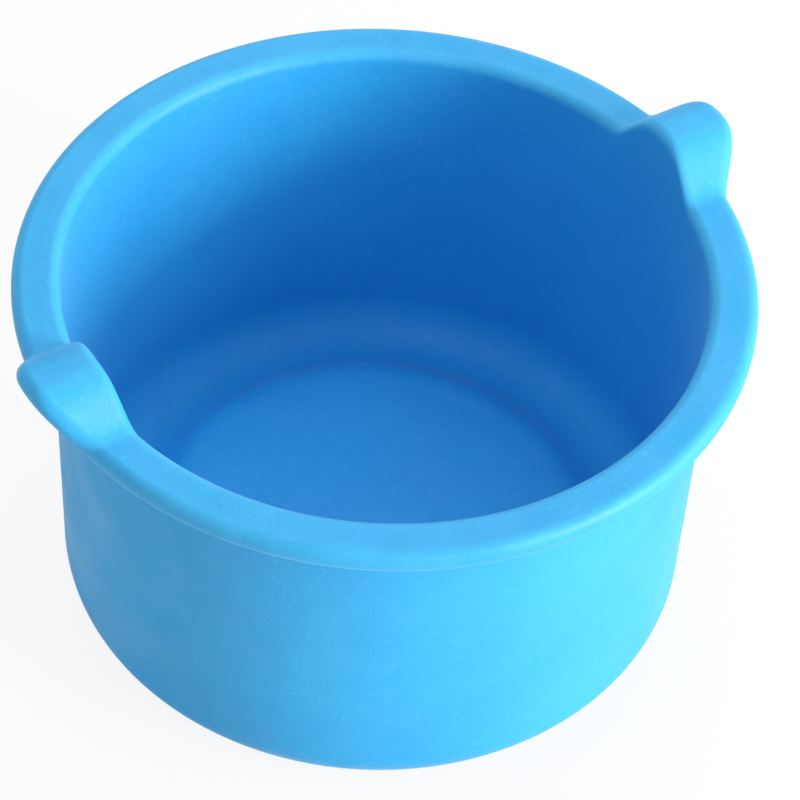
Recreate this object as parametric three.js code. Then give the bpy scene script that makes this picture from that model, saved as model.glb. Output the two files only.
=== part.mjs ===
// Silicone wax warmer bowl: one moulded piece with a rim that hangs on the heater's edge
// and two opposite ears on the rim to lift it out by.
// Millimetres, +Z up, the bowl stands on Z = 0 about the Z axis, the ears are on the X axis.

import * as THREE from "three";
import { mergeVertices } from "three/addons/utils/BufferGeometryUtils.js";

// Rim
const rimRadius = 65;
const rimHeight = 72;
const rimThickness = 4.5;
const rimOverhang = 6.7;
const rimEdgeFlat = 0.5;
const rimUndersideFillet = 1;
const mouthRounding = 2;

// Wall
const wallThickness = 1.8;
const wallDraftDegrees = 1;

// Floor: of even thickness, raised to a flat disc with a soft edge, with a round gutter about the disc
const floorThickness = 2.5;
const discRise = 5;
const discEdgeRounding = 9;
const gutterWidth = 17.1;
const gutterRadius = 8;
const baseCornerRadius = 7.5;

// Ears: the rim drawn up and out, the same on both sides
const earHalfWidth = 12.5;
const earRise = 8;
const earReach = 5;
const earCrownFlatness = 1.5;

// Sizes that follow from the ones above
const wallRadius = rimRadius - rimOverhang;
const mouthRadius = wallRadius - wallThickness;
const rimUnderside = rimHeight - rimThickness;
const rimEdgeRounding = (rimThickness - rimEdgeFlat) / 2;
const wallEnd = rimUnderside - rimUndersideFillet;
const wallDraft = THREE.MathUtils.degToRad(wallDraftDegrees);
const discRadius = mouthRadius - wallEnd * Math.tan(wallDraft) - gutterWidth;
const discHeight = floorThickness + discRise;

// Fineness of the surface
const columns = 96;
const columnCrowding = 0.6;
const degreesPerArcStep = 20;
const mergeDistance = 1e-3;

// Limits of the floor's roundings: the share of their room that they take up, and their least radius
const roundingRoom = 0.95;
const leastRounding = 0.5;

const siliconeBlue = 0x3fb4ee;

// Points of an arc about a centre, both ends included.
function arc(centre, radius, fromDegrees, toDegrees) {
  const steps = Math.ceil(Math.abs(toDegrees - fromDegrees) / degreesPerArcStep);
  const points = [];
  for (let i = 0; i <= steps; i++) {
    const angle = THREE.MathUtils.degToRad(fromDegrees + ((toDegrees - fromDegrees) * i) / steps);
    const across = centre.x + radius * Math.cos(angle);
    const up = centre.y + radius * Math.sin(angle);
    points.push(new THREE.Vector2(across, up));
  }
  return points;
}

// Centre of a circle that touches a face of the drafted wall from inside and a level below it.
// The face is given by its radius where the wall ends under the rim.
function cornerCentre(radius, faceRadius, level) {
  const height = level + radius;
  const faceAcross = faceRadius - (wallEnd - height) * Math.tan(wallDraft);
  return new THREE.Vector2(faceAcross - radius / Math.cos(wallDraft), height);
}

// Section through the wall as a closed outline from the axis out, up and back, as radius and height.
function bowlSection() {
  // Inside: the gutter's round leaves the wall, and the step runs straight on from it to the disc.
  // The round stays a little smaller than the one that would cut into the disc's edge.
  const widestRound = gutterWidth + discRise - Math.sqrt(2 * gutterWidth * discRise);
  const gutterRound = Math.min(gutterRadius, roundingRoom * widestRound);
  const gutterCentre = cornerCentre(gutterRound, mouthRadius, floorThickness);
  const discCorner = new THREE.Vector2(discRadius, discHeight);
  const toGutter = gutterCentre.clone().sub(discCorner);
  const slope = Math.asin(gutterRound / toGutter.length()) - toGutter.angle();
  const slopeDegrees = THREE.MathUtils.radToDeg(slope);
  const insideTop = new THREE.Vector2(mouthRadius, wallEnd);
  const discMiddle = new THREE.Vector2(0, discHeight);

  // The disc's edge: its rounding takes up no more than the straight of the step.
  const stepLength = Math.sqrt(toGutter.lengthSq() - gutterRound ** 2);
  const widestEdge = stepLength / Math.tan(slope / 2);
  const discRound = Math.min(discEdgeRounding, roundingRoom * widestEdge);
  const discEdgeCentre = discCorner.clone();
  discEdgeCentre.x -= discRound * Math.tan(slope / 2);
  discEdgeCentre.y -= discRound;

  // Underside: it follows the disc and the step at the floor's thickness, down to a standing ring
  const outerCorner = cornerCentre(baseCornerRadius, wallRadius, 0);
  const hollowRound = Math.max(discRound - floorThickness, leastRounding);
  const hollowMiddle = new THREE.Vector2(0, discRise);
  const hollowCorner = discRadius - floorThickness * Math.tan(slope / 2);
  const hollowAcross = hollowCorner - hollowRound * Math.tan(slope / 2);
  const hollowCentre = new THREE.Vector2(hollowAcross, discRise - hollowRound);
  const ringEdge = new THREE.Vector2(hollowCorner + discRise / Math.tan(slope), 0);

  // Centres of the fillet and the roundings of the rim
  const edgeCentre = rimRadius - rimEdgeRounding;
  const filletCentre = new THREE.Vector2(wallRadius + rimUndersideFillet, wallEnd);
  const lowEdge = new THREE.Vector2(edgeCentre, rimUnderside + rimEdgeRounding);
  const highEdge = new THREE.Vector2(edgeCentre, rimHeight - rimEdgeRounding);
  const mouthCentre = new THREE.Vector2(mouthRadius + mouthRounding, rimHeight - mouthRounding);
  return [
    hollowMiddle,
    ...arc(hollowCentre, hollowRound, 90, 90 - slopeDegrees),
    ringEdge,
    ...arc(outerCorner, baseCornerRadius, -90, -wallDraftDegrees),
    ...arc(filletCentre, rimUndersideFillet, 180, 90),
    ...arc(lowEdge, rimEdgeRounding, -90, 0),
    ...arc(highEdge, rimEdgeRounding, 0, 90),
    ...arc(mouthCentre, mouthRounding, 90, 180),
    insideTop,
    ...arc(gutterCentre, gutterRound, -wallDraftDegrees, -90 - slopeDegrees),
    ...arc(discEdgeCentre, discRound, 90 - slopeDegrees, 90),
    discMiddle,
  ];
}

// How much of an ear stands at a distance to the side of its middle, from 0 to 1.
function earCrown(sideways) {
  const share = Math.min(Math.abs(sideways) / earHalfWidth, 1);
  return (1 + Math.cos(Math.PI * share ** earCrownFlatness)) / 2;
}

// Turns the plain revolved bowl into the bowl with its ears: the columns crowd towards the X axis,
// where the ears are, and the rim there is drawn up by the rise and out by the reach.
function drawEars(geometry) {
  const reachStart = wallRadius + rimUndersideFillet;
  const reachEnd = rimRadius - rimEdgeRounding;
  const position = geometry.getAttribute("position");
  const point = new THREE.Vector3();
  for (let i = 0; i < position.count; i++) {
    point.fromBufferAttribute(position, i);
    const radius = Math.hypot(point.x, point.y);
    const even = Math.atan2(point.y, point.x);
    const angle = even - (columnCrowding / 2) * Math.sin(2 * even);
    point.x = radius * Math.cos(angle);
    point.y = radius * Math.sin(angle);
    const onRim = point.z > wallEnd + mergeDistance;
    if (onRim) {
      const crown = earCrown(point.y);
      const outward = THREE.MathUtils.clamp((radius - reachStart) / (reachEnd - reachStart), 0, 1);
      point.x += Math.sign(point.x) * earReach * crown * outward;
      point.z += earRise * crown;
    }
    position.setXYZ(i, point.x, point.y, point.z);
  }
}

function siliconeBowl() {
  const revolved = new THREE.LatheGeometry(bowlSection(), columns);
  revolved.rotateX(Math.PI / 2);
  drawEars(revolved);
  revolved.deleteAttribute("normal");
  revolved.deleteAttribute("uv");
  const geometry = mergeVertices(revolved, mergeDistance);
  geometry.computeVertexNormals();
  const material = new THREE.MeshStandardMaterial({
    color: siliconeBlue,
    roughness: 0.5,
    metalness: 0,
  });
  const mesh = new THREE.Mesh(geometry, material);
  mesh.name = "silicone_bowl";
  return mesh;
}

const group = new THREE.Group();
group.add(siliconeBowl());

export default group;
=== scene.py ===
# Silicone wax warmer bowl in a plain studio: one moulded piece with a hanging rim and two ears.
# Metres, +Z up, the ears on the X axis, the bowl standing on Z = 0.

import math
import bpy
from mathutils import Matrix, Vector


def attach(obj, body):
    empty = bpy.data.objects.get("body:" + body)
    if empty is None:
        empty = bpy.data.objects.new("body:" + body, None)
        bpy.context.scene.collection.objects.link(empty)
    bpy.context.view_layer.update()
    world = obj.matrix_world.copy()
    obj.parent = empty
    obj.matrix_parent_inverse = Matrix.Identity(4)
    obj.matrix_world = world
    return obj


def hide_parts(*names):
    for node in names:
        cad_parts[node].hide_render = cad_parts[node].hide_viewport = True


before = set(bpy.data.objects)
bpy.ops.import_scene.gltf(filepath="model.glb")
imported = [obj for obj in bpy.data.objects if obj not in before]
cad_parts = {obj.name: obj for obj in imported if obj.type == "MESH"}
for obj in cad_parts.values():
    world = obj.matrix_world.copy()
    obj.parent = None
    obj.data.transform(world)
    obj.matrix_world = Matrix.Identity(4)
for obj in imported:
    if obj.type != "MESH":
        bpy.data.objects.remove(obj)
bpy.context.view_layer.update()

# Sizes of the bowl, the same as the CAD model's
RIM_RADIUS = 0.065
RIM_HEIGHT = 0.072
RIM_THICKNESS = 0.0045
RIM_OVERHANG = 0.0067
RIM_EDGE_FLAT = 0.0005
RIM_UNDERSIDE_FILLET = 0.001
MOUTH_ROUNDING = 0.002
WALL_THICKNESS = 0.0018
WALL_DRAFT = math.radians(1)
FLOOR_THICKNESS = 0.0025
DISC_RISE = 0.005
DISC_EDGE_ROUNDING = 0.009
GUTTER_WIDTH = 0.0171
GUTTER_RADIUS = 0.008
BASE_CORNER_RADIUS = 0.0075
EAR_HALF_WIDTH = 0.0125
EAR_RISE = 0.008
EAR_REACH = 0.005
EAR_CROWN_FLATNESS = 1.5

# Sizes that follow from the ones above
WALL_RADIUS = RIM_RADIUS - RIM_OVERHANG
MOUTH_RADIUS = WALL_RADIUS - WALL_THICKNESS
RIM_UNDERSIDE = RIM_HEIGHT - RIM_THICKNESS
RIM_EDGE_ROUNDING = (RIM_THICKNESS - RIM_EDGE_FLAT) / 2
WALL_END = RIM_UNDERSIDE - RIM_UNDERSIDE_FILLET
DISC_RADIUS = MOUTH_RADIUS - WALL_END * math.tan(WALL_DRAFT) - GUTTER_WIDTH
DISC_HEIGHT = FLOOR_THICKNESS + DISC_RISE

# Fineness of the mesh: the columns crowd towards the ears, and a flat stretch of the section gets a
# narrow strip at both ends, so that the smooth shading bends at the corners and not across the flat
COLUMNS = 360
COLUMN_CROWDING = 0.5
ARC_STEP = math.radians(6)
FEWEST_ARC_STEPS = 2
LONGEST_STEP = 0.004
SHORTEST_FLAT = 0.002
CORNER_STRIP = 0.0003
HEIGHT_TOLERANCE = 1e-7

# Rubbed edges: how far inside the corner they lie, as a share of its rounding, and how wide they are
WEAR_DEPTH = 1 / 3
WEAR_WIDTH = 0.0022

# Camera: the photograph's direction, with the left ear in front on the left
CAMERA_AZIMUTH = math.radians(-123.35)
CAMERA_ELEVATION = math.radians(47.381)
CAMERA_DISTANCE = 0.650
CAMERA_AIM_HEIGHT = 0.03608
CAMERA_AIM_RIGHT = math.radians(0.335)
CAMERA_AIM_UP = math.radians(0.215)
CAMERA_ROLL = math.radians(3.382)
CAMERA_LENS = 161.5
CAMERA_SENSOR = 36
CAMERA_NEAR = 0.01
CAMERA_FAR = 50

# Silicone's colours
DEEP_BLUE = (0.021, 0.362, 0.765, 1)
CLOUD_BLUE = (0.027, 0.404, 0.815, 1)
SPECK_BLUE = (0.06, 0.49, 0.85, 1)
RUBBED_BLUE = (0.09, 0.52, 0.87, 1)

# Silicone's patterns: scales in waves per metre, depths in metres, ranges as the noise's start and end
CLOUD_SCALE = 32
CLOUD_DETAIL = 3
CLOUD_RANGE = (0.3, 0.7)
SPECK_SCALE = 900
SPECK_DETAIL = 2
SPECK_RANGE = (0.58, 0.74)
SPECK_STRENGTH = 0.42
PATCH_SCALE = 75
PATCH_DETAIL = 4
WAVE_SCALE = 110
WAVE_DETAIL = 1
WAVE_DEPTH = 0.0003
GRAIN_SCALE = 1500
GRAIN_DETAIL = 2
GRAIN_DEPTH = 0.00005

# Silicone's surface: the patches vary both the roughness and how rubbed an edge is
HAZE_RANGE = (0.3, 0.7)
HAZE_ROUGHNESS = (0.5, 0.68)
RUBBED_RANGE = (0.35, 0.65)
RUBBED_LEAST = 0.35
RUBBED_PALENESS = 0.45
RUBBED_POLISH = 0.08
SILICONE_IOR = 1.43
SHEEN_WEIGHT = 0.18
SHEEN_ROUGHNESS = 0.4
SHEEN_TINT = (0.7, 0.94, 1, 1)

# Floor and sky
WHITE = (1, 1, 1)
FLOOR_HALF_SIDE = 3
FLOOR_COLOUR = (0.8, 0.8, 0.8, 1)
FLOOR_ROUGHNESS = 0.6
FLOOR_WHITENESS = 0.88
SKY = (0.93, 0.99, 1)
SKY_STRENGTH = 0.5

# Softboxes: name, degrees to the right of the camera's side, degrees up, side in metres, watts, colour
WARM = (1, 0.9, 0.8)
LAMP_DISTANCE = 1.2
LAMP_AIM_HEIGHT = 0.04
LAMPS = [
    ("key", 60, 14, 0.35, 12.5, WARM),
    ("key_high", 66, 25, 0.5, 6, WARM),
    ("back", 180, 35, 0.6, 1.8, WHITE),
    ("back_high", 150, 60, 0.6, 3.5, WHITE),
    ("left", -60, 40, 0.6, 0.4, WHITE),
    ("top", 0, 90, 0.6, 1, WHITE),
]

# The Mix node's sockets that are for colours
MIX_FIRST_COLOUR = 6
MIX_SECOND_COLOUR = 7
MIX_COLOUR_RESULT = 2


def about_camera(azimuth, elevation, distance):
    """A place about the bowl's axis, with the azimuth in degrees to the right of the camera's side."""
    turn = CAMERA_AZIMUTH + math.radians(azimuth)
    rise = math.radians(elevation)
    flat = distance * math.cos(rise)
    return Vector((flat * math.cos(turn), flat * math.sin(turn), distance * math.sin(rise)))


def aim_matrix(place, target):
    """Places a lamp and turns its -Z towards the target."""
    turn = (target - place).to_track_quat("-Z", "Y").to_matrix().to_4x4()
    return Matrix.Translation(place) @ turn


def make_camera():
    """The photograph's camera: aimed at the bowl's axis, turned a little right and up, then rolled."""
    aim = Vector((0, 0, CAMERA_AIM_HEIGHT))
    place = aim + about_camera(0, math.degrees(CAMERA_ELEVATION), CAMERA_DISTANCE)
    forward = (aim - place).normalized()
    right = Vector((-math.sin(CAMERA_AZIMUTH), math.cos(CAMERA_AZIMUTH), 0))
    up = right.cross(forward)

    forward = (forward + math.tan(CAMERA_AIM_RIGHT) * right + math.tan(CAMERA_AIM_UP) * up).normalized()
    right = forward.cross(up).normalized()
    up = right.cross(forward)
    side = math.cos(CAMERA_ROLL) * right + math.sin(CAMERA_ROLL) * up
    head = math.cos(CAMERA_ROLL) * up - math.sin(CAMERA_ROLL) * right
    turn = Matrix((side, head, -forward)).transposed().to_4x4()

    data = bpy.data.cameras.new("camera")
    data.lens = CAMERA_LENS
    data.sensor_width = CAMERA_SENSOR
    data.clip_start = CAMERA_NEAR
    data.clip_end = CAMERA_FAR
    camera = bpy.data.objects.new("camera", data)
    camera.matrix_world = Matrix.Translation(place) @ turn
    bpy.context.scene.collection.objects.link(camera)
    bpy.context.scene.camera = camera


def arc(centre, radius, start, end):
    """Points of an arc about a centre, both ends included, angles in radians."""
    steps = max(FEWEST_ARC_STEPS, math.ceil(abs(end - start) / ARC_STEP))
    points = []
    for i in range(steps + 1):
        angle = start + (end - start) * i / steps
        points.append((centre[0] + radius * math.cos(angle), centre[1] + radius * math.sin(angle)))
    return points


def corner_centre(radius, face_radius, level):
    """Centre of a circle that touches a face of the drafted wall from inside and a level below it."""
    height = level + radius
    face_across = face_radius - (WALL_END - height) * math.tan(WALL_DRAFT)
    return (face_across - radius / math.cos(WALL_DRAFT), height)


def section_outline():
    """Outline through the wall from the axis out, up and back, as radius and height."""
    right_angle = math.pi / 2

    # Inside: the gutter's round leaves the wall, and the step runs straight on from it to the disc.
    gutter = corner_centre(GUTTER_RADIUS, MOUTH_RADIUS, FLOOR_THICKNESS)
    across = gutter[0] - DISC_RADIUS
    down = DISC_HEIGHT - gutter[1]
    slope = math.asin(GUTTER_RADIUS / math.hypot(across, down)) + math.atan2(down, across)
    disc_edge = (DISC_RADIUS - DISC_EDGE_ROUNDING * math.tan(slope / 2), DISC_HEIGHT - DISC_EDGE_ROUNDING)

    # Underside: it follows the disc and the step at the floor's thickness, down to a standing ring.
    outer_corner = corner_centre(BASE_CORNER_RADIUS, WALL_RADIUS, 0)
    hollow_rounding = DISC_EDGE_ROUNDING - FLOOR_THICKNESS
    hollow_corner = DISC_RADIUS - FLOOR_THICKNESS * math.tan(slope / 2)
    ring_edge = (hollow_corner + DISC_RISE / math.tan(slope), 0)

    # Centres of the fillet and the roundings of the rim
    fillet_centre = (WALL_RADIUS + RIM_UNDERSIDE_FILLET, WALL_END)
    edge_radius = RIM_RADIUS - RIM_EDGE_ROUNDING
    low_edge = (edge_radius, RIM_UNDERSIDE + RIM_EDGE_ROUNDING)
    high_edge = (edge_radius, RIM_HEIGHT - RIM_EDGE_ROUNDING)
    mouth_centre = (MOUTH_RADIUS + MOUTH_ROUNDING, RIM_HEIGHT - MOUTH_ROUNDING)

    return [
        (0, DISC_RISE),
        *arc(disc_edge, hollow_rounding, right_angle, right_angle - slope),
        ring_edge,
        *arc(outer_corner, BASE_CORNER_RADIUS, -right_angle, -WALL_DRAFT),
        *arc(fillet_centre, RIM_UNDERSIDE_FILLET, 2 * right_angle, right_angle),
        *arc(low_edge, RIM_EDGE_ROUNDING, -right_angle, 0),
        *arc(high_edge, RIM_EDGE_ROUNDING, 0, right_angle),
        *arc(mouth_centre, MOUTH_ROUNDING, right_angle, 2 * right_angle),
        (MOUTH_RADIUS, WALL_END),
        *arc(gutter, GUTTER_RADIUS, -WALL_DRAFT, -right_angle - slope),
        *arc(disc_edge, DISC_EDGE_ROUNDING, right_angle - slope, right_angle),
        (0, DISC_HEIGHT),
    ]


def bowl_section():
    """The outline with its flat stretches cut into steps, and a narrow strip at both ends of each."""
    outline = section_outline()
    section = [outline[0]]
    for near, far in zip(outline, outline[1:]):
        length = math.dist(near, far)
        stops = [length]
        if length > SHORTEST_FLAT:
            steps = math.ceil(length / LONGEST_STEP)
            between = [length * i / steps for i in range(1, steps)]
            stops = [CORNER_STRIP, *between, length - CORNER_STRIP, length]
        for stop in stops:
            share = stop / length
            section.append((near[0] + (far[0] - near[0]) * share, near[1] + (far[1] - near[1]) * share))
    return section


def ear_crown(sideways):
    """How much of an ear stands at a distance to the side of its middle, from 0 to 1."""
    share = min(abs(sideways) / EAR_HALF_WIDTH, 1)
    return (1 + math.cos(math.pi * share ** EAR_CROWN_FLATNESS)) / 2


def bowl_point(radius, height, even):
    """A point of the bowl, with the rim drawn up and out where the ears are."""
    angle = even - COLUMN_CROWDING / 2 * math.sin(2 * even)
    x = radius * math.cos(angle)
    y = radius * math.sin(angle)
    z = height
    if height > WALL_END + HEIGHT_TOLERANCE:
        crown = ear_crown(y)
        reach_start = WALL_RADIUS + RIM_UNDERSIDE_FILLET
        reach_end = RIM_RADIUS - RIM_EDGE_ROUNDING
        outward = min(max((radius - reach_start) / (reach_end - reach_start), 0), 1)
        x += math.copysign(EAR_REACH * crown * outward, x)
        z += EAR_RISE * crown
    return (x, y, z)


def wear(radius, height):
    """How rubbed the surface is, from 0 to 1: most along the edges that touch hands, heater and table."""
    mouth_depth = MOUTH_ROUNDING * WEAR_DEPTH
    rim_depth = RIM_EDGE_ROUNDING * WEAR_DEPTH
    edges = [
        (MOUTH_RADIUS + mouth_depth, RIM_HEIGHT - mouth_depth),
        (RIM_RADIUS - rim_depth, RIM_HEIGHT - rim_depth),
        (RIM_RADIUS - rim_depth, RIM_UNDERSIDE + rim_depth),
        (corner_centre(BASE_CORNER_RADIUS, WALL_RADIUS, 0)[0], 0),
    ]
    nearest = min(math.dist(edge, (radius, height)) for edge in edges)
    return max(0, 1 - nearest / WEAR_WIDTH)


def bowl_mesh():
    """The section turned about the Z axis, with the wear as a value on each point."""
    section = bowl_section()
    rings = section[1:-1]
    vertices = [(0, 0, section[0][1])]
    rubbed = [0]
    for radius, height in rings:
        for column in range(COLUMNS):
            vertices.append(bowl_point(radius, height, 2 * math.pi * column / COLUMNS))
        rubbed += [wear(radius, height)] * COLUMNS
    vertices.append((0, 0, section[-1][1]))
    rubbed.append(0)

    last = len(vertices) - 1
    faces = []
    for column in range(COLUMNS):
        after = (column + 1) % COLUMNS
        faces.append((0, 1 + after, 1 + column))
        for ring in range(len(rings) - 1):
            low = 1 + ring * COLUMNS
            high = low + COLUMNS
            faces.append((low + column, low + after, high + after, high + column))
        top = 1 + (len(rings) - 1) * COLUMNS
        faces.append((top + column, top + after, last))

    mesh = bpy.data.meshes.new("bowl")
    mesh.from_pydata(vertices, [], faces)
    mesh.shade_smooth()
    mesh.attributes.new("wear", "FLOAT", "POINT").data.foreach_set("value", rubbed)
    return mesh


def new_material(name):
    """A material with its node tree and its Principled shader."""
    material = bpy.data.materials.new(name)
    material.use_nodes = True
    return material, material.node_tree, material.node_tree.nodes["Principled BSDF"]


def fill(tree, socket, value):
    """Links a socket to another one, or sets it to a plain value."""
    if isinstance(value, bpy.types.NodeSocket):
        tree.links.new(value, socket)
    else:
        socket.default_value = value


def noise(tree, place, scale, detail):
    """Soft noise from 0 to 1, with the scale in waves per metre."""
    node = tree.nodes.new("ShaderNodeTexNoise")
    fill(tree, node.inputs["Vector"], place)
    node.inputs["Scale"].default_value = scale
    node.inputs["Detail"].default_value = detail
    return node.outputs["Fac"]


def ranged(tree, value, start, end, low, high):
    """Turns a value between start and end into one between low and high."""
    node = tree.nodes.new("ShaderNodeMapRange")
    fill(tree, node.inputs["Value"], value)
    node.inputs["From Min"].default_value = start
    node.inputs["From Max"].default_value = end
    node.inputs["To Min"].default_value = low
    node.inputs["To Max"].default_value = high
    return node.outputs["Result"]


def reckon(tree, operation, first, second):
    """Does a sum, named as the Math node names it, on two values."""
    node = tree.nodes.new("ShaderNodeMath")
    node.operation = operation
    fill(tree, node.inputs[0], first)
    fill(tree, node.inputs[1], second)
    return node.outputs[0]


def blend(tree, share, first, second):
    """Mixes two colours, the second by the share."""
    node = tree.nodes.new("ShaderNodeMix")
    node.data_type = "RGBA"
    fill(tree, node.inputs["Factor"], share)
    fill(tree, node.inputs[MIX_FIRST_COLOUR], first)
    fill(tree, node.inputs[MIX_SECOND_COLOUR], second)
    return node.outputs[MIX_COLOUR_RESULT]


def bump(tree, height, depth, normal=None):
    """A bump of the given depth in metres, on top of an earlier one."""
    node = tree.nodes.new("ShaderNodeBump")
    node.inputs["Distance"].default_value = depth
    fill(tree, node.inputs["Height"], height)
    if normal is not None:
        fill(tree, node.inputs["Normal"], normal)
    return node.outputs["Normal"]


def silicone():
    """Sky-blue satin silicone: pigment clouds and specks, moulded grain, hazy patches, paler edges."""
    material, tree, shader = new_material("silicone")
    place = tree.nodes.new("ShaderNodeTexCoord").outputs["Object"]
    rubbed = tree.nodes.new("ShaderNodeAttribute")
    rubbed.attribute_name = "wear"

    clouds = ranged(tree, noise(tree, place, CLOUD_SCALE, CLOUD_DETAIL), *CLOUD_RANGE, 0, 1)
    specks = ranged(tree, noise(tree, place, SPECK_SCALE, SPECK_DETAIL), *SPECK_RANGE, 0, SPECK_STRENGTH)
    patches = noise(tree, place, PATCH_SCALE, PATCH_DETAIL)
    patchy = ranged(tree, patches, *RUBBED_RANGE, RUBBED_LEAST, 1)
    edge = reckon(tree, "MULTIPLY", rubbed.outputs["Fac"], patchy)

    colour = blend(tree, clouds, DEEP_BLUE, CLOUD_BLUE)
    colour = blend(tree, specks, colour, SPECK_BLUE)
    colour = blend(tree, reckon(tree, "MULTIPLY", edge, RUBBED_PALENESS), colour, RUBBED_BLUE)
    fill(tree, shader.inputs["Base Color"], colour)

    haze = ranged(tree, patches, *HAZE_RANGE, *HAZE_ROUGHNESS)
    polish = reckon(tree, "MULTIPLY", edge, RUBBED_POLISH)
    fill(tree, shader.inputs["Roughness"], reckon(tree, "SUBTRACT", haze, polish))

    normal = bump(tree, noise(tree, place, WAVE_SCALE, WAVE_DETAIL), WAVE_DEPTH)
    normal = bump(tree, noise(tree, place, GRAIN_SCALE, GRAIN_DETAIL), GRAIN_DEPTH, normal)
    fill(tree, shader.inputs["Normal"], normal)

    shader.inputs["IOR"].default_value = SILICONE_IOR
    shader.inputs["Sheen Weight"].default_value = SHEEN_WEIGHT
    shader.inputs["Sheen Roughness"].default_value = SHEEN_ROUGHNESS
    shader.inputs["Sheen Tint"].default_value = SHEEN_TINT
    return material


def seen(tree):
    """One for rays that show the background: the camera's own, reflected and let through; else zero."""
    path = tree.nodes.new("ShaderNodeLightPath")
    direct = reckon(tree, "MAXIMUM", path.outputs["Is Camera Ray"], path.outputs["Is Glossy Ray"])
    return reckon(tree, "MAXIMUM", direct, path.outputs["Is Transmission Ray"])


def make_floor():
    """A pale floor that shows almost white to the camera and keeps a faint shadow."""
    mesh = bpy.data.meshes.new("floor")
    side = FLOOR_HALF_SIDE
    corners = [(-side, -side, 0), (side, -side, 0), (side, side, 0), (-side, side, 0)]
    mesh.from_pydata(corners, [], [(0, 1, 2, 3)])
    floor = bpy.data.objects.new("floor", mesh)
    bpy.context.scene.collection.objects.link(floor)

    material, tree, shader = new_material("floor")
    shader.inputs["Base Color"].default_value = FLOOR_COLOUR
    shader.inputs["Roughness"].default_value = FLOOR_ROUGHNESS
    white = tree.nodes.new("ShaderNodeEmission")
    mix = tree.nodes.new("ShaderNodeMixShader")
    fill(tree, mix.inputs["Fac"], reckon(tree, "MULTIPLY", seen(tree), FLOOR_WHITENESS))
    fill(tree, mix.inputs[1], shader.outputs["BSDF"])
    fill(tree, mix.inputs[2], white.outputs["Emission"])
    fill(tree, tree.nodes["Material Output"].inputs["Surface"], mix.outputs[0])
    mesh.materials.append(material)


def make_world():
    """An even pale sky that lights the bowl and shows white to the camera."""
    world = bpy.data.worlds.new("studio")
    world.use_nodes = True
    tree = world.node_tree
    background = tree.nodes["Background"]
    fill(tree, background.inputs["Color"], blend(tree, seen(tree), (*SKY, 1), (*WHITE, 1)))
    fill(tree, background.inputs["Strength"], ranged(tree, seen(tree), 0, 1, SKY_STRENGTH, 1))
    bpy.context.scene.world = world


def add_lamp(name, azimuth, elevation, size, watts, colour):
    """A square softbox aimed at the bowl, with its angles in degrees."""
    data = bpy.data.lights.new(name, "AREA")
    data.shape = "SQUARE"
    data.size = size
    data.energy = watts
    data.color = colour
    lamp = bpy.data.objects.new(name, data)
    place = about_camera(azimuth, elevation, LAMP_DISTANCE)
    lamp.matrix_world = aim_matrix(place, Vector((0, 0, LAMP_AIM_HEIGHT)))
    bpy.context.scene.collection.objects.link(lamp)


make_camera()
make_world()
make_floor()
for lamp in LAMPS:
    add_lamp(*lamp)

bowl = bpy.data.objects.new("bowl", bowl_mesh())
bpy.context.scene.collection.objects.link(bowl)
bowl.data.materials.append(silicone())
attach(bowl, "root")
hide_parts("silicone_bowl")

bpy.context.scene.view_settings.view_transform = "Standard"
